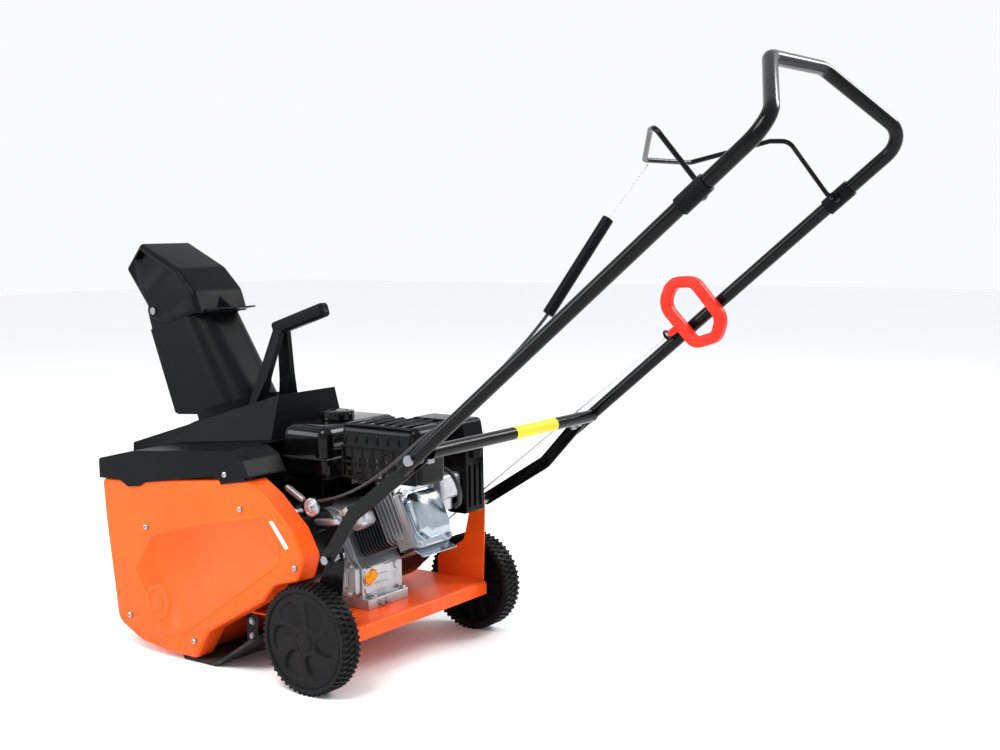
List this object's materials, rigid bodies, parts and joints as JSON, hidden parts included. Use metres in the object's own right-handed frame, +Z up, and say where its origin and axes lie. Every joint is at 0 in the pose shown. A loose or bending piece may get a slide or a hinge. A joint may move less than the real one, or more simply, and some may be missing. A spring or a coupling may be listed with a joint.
{
  "type": "snow blower",
  "caption": "Walk-behind single-stage petrol snow blower with rubber-paddle auger housing, swivelling chute and tilting deflector, small engine, two wheels and folding loop handle.",
  "frame": {"origin": "middle of the footprint at ground level", "axes": "+Z up, +Y towards the handlebar and the operator, -Y towards the intake, +X to the operator's left"},
  "size_m": [0.5362, 1.4894, 1.0288],
  "materials": {
    "orange_paint": "powder-coated sheet",
    "black_paint": "satin black paint",
    "black_tube": "gloss black coated tube",
    "charcoal_plastic": "moulded, fine grain",
    "rubber": "matt",
    "tyre": "moulded",
    "cast_aluminium": "as cast",
    "zinc": "bright zinc plate",
    "steel": "bright",
    "tank_black": "gloss",
    "engine_black": "satin",
    "amber_plastic": "moulded",
    "red_plastic": "moulded",
    "iron": "as cast",
    "rope": "braided",
    "blade_steel": "worn black"
  },
  "bodies": {
    "chassis": {"auger_housing": "orange_paint", "belt_cover": "orange_paint", "top_cover": "charcoal_plastic", "chute_shroud": "charcoal_plastic", "scraper": "blade_steel", "scraper_brackets": "black_paint", "auger_bearings": "engine_black", "drive_belt": "rubber", "engine_deck": "orange_paint", "left_side_frame": "black_paint", "right_side_frame": "orange_paint", "wheel_axle": "steel", "crankcase": "cast_aluminium", "crankcase_cover": "cast_aluminium", "blower_housing": "engine_black", "recoil_housing": "engine_black", "cylinder": "cast_aluminium", "cylinder_head": "cast_aluminium", "valve_cover": "zinc", "cylinder_shield": "zinc", "engine_bolts": "steel", "spark_plug": "rubber", "spark_lead": "rubber", "muffler": "steel", "muffler_guard": "black_paint", "carburettor": "cast_aluminium", "air_box": "engine_black", "air_box_lid": "engine_black", "fuel_tank": "tank_black", "belt_guard": "black_paint", "left_lower_bar": "black_tube", "right_lower_bar": "black_tube", "handle_bolts": "steel", "cover_screws": "steel", "control_cable": "rubber", "starter_rope": "rope"},
    "auger": {"auger_shaft": "steel", "auger_paddles": "rubber", "auger_pulley": "iron"},
    "engine_shaft": {"crankshaft": "steel", "flywheel": "iron", "engine_pulley": "iron"},
    "rope_pulley": {"recoil_pulley": "engine_black"},
    "idler": {"idler_arm": "steel"},
    "idler_wheel": {"idler_pulley": "steel"},
    "left_wheel": {"left_wheel": "tyre"},
    "right_wheel": {"right_wheel": "tyre"},
    "fuel_cap": {"fuel_cap": "tank_black"},
    "oil_plug": {"oil_plug": "amber_plastic"},
    "chute": {"chute": "charcoal_plastic", "chute_handle": "charcoal_plastic", "deflector_bolts": "steel"},
    "deflector": {"deflector": "charcoal_plastic"},
    "handle": {"upper_handle": "black_tube", "handle_brace": "black_tube", "bail_sleeves": "charcoal_plastic", "rope_guide": "black_paint", "cable_sleeve": "charcoal_plastic"},
    "bail": {"bail": "black_tube"},
    "pull": {"pull_handle": "red_plastic"}
  },
  "joints": [
    {"name": "auger_spin", "type": "hinge", "parent": "chassis", "child": "auger", "pos_m": [0, -0.487, 0.102], "axis": [1, 0, 0], "continuous": true},
    {"name": "engine_spin", "type": "hinge", "parent": "chassis", "child": "engine_shaft", "pos_m": [0, -0.208, 0.212], "axis": [1, 0, 0], "continuous": true},
    {"name": "left_wheel_spin", "type": "hinge", "parent": "chassis", "child": "left_wheel", "pos_m": [0.23335, -0.103, 0.095], "axis": [1, 0, 0], "continuous": true},
    {"name": "right_wheel_spin", "type": "hinge", "parent": "chassis", "child": "right_wheel", "pos_m": [-0.23335, -0.103, 0.095], "axis": [1, 0, 0], "continuous": true},
    {"name": "chute_swivel", "type": "hinge", "parent": "chassis", "child": "chute", "pos_m": [0, -0.50922, 0.42701], "axis": [0, -0.3048, 0.9524], "range_deg": [-95, 95]},
    {"name": "deflector_tilt", "type": "hinge", "parent": "chute", "child": "deflector", "pos_m": [0, -0.66709, 0.63163], "axis": [1, 0, 0], "range_deg": [0, 40]},
    {"name": "handle_fold", "type": "hinge", "parent": "chassis", "child": "handle", "pos_m": [0, 0.147, 0.42902], "axis": [1, 0, 0], "range_deg": [0, 90], "deforming": ["control_cable", "starter_rope"]},
    {"name": "bail_squeeze", "type": "hinge", "parent": "handle", "child": "bail", "pos_m": [0, 0.635, 0.82744], "axis": [1, 0, 0], "range_deg": [-45, 0], "stiffness_Nm_per_rad": 0.6, "springref_deg": 40.11, "deforming": ["control_cable"]},
    {"name": "pull_start", "type": "slide", "parent": "handle", "child": "pull", "axis": [0.1166, 0.8282, 0.5482], "range_m": [0, 0.45], "stiffness_N_per_m": 10, "springref_m": -0.5, "deforming": ["starter_rope"]},
    {"name": "rope_pulley_spin", "type": "hinge", "parent": "chassis", "child": "rope_pulley", "pos_m": [-0.139, -0.208, 0.212], "axis": [1, 0, 0], "range_deg": [-10, 560]},
    {"name": "idler_swing", "type": "hinge", "parent": "chassis", "child": "idler", "pos_m": [0.217, -0.3324, 0.24684], "axis": [1, 0, 0], "range_deg": [-1, 4.2]},
    {"name": "idler_spin", "type": "hinge", "parent": "idler", "child": "idler_wheel", "pos_m": [0.217, -0.38787, 0.21852], "axis": [1, 0, 0], "continuous": true},
    {"name": "fuel_cap_turn", "type": "hinge", "parent": "chassis", "child": "fuel_cap", "pos_m": [0.014, -0.229, 0.441], "axis": [0, 0, 1], "range_deg": [0, 90]},
    {"name": "oil_plug_turn", "type": "hinge", "parent": "chassis", "child": "oil_plug", "pos_m": [0.061, -0.117, 0.162], "axis": [0, 1, 0], "range_deg": [0, 360]}
  ],
  "couplings": [
    {"joint": "auger_spin", "follows": "engine_spin", "ratio": 0.50909},
    {"joint": "idler_swing", "follows": "bail_squeeze", "ratio": -0.093},
    {"joint": "rope_pulley_spin", "follows": "pull_start", "rad_per_m": 19.1}
  ]
}
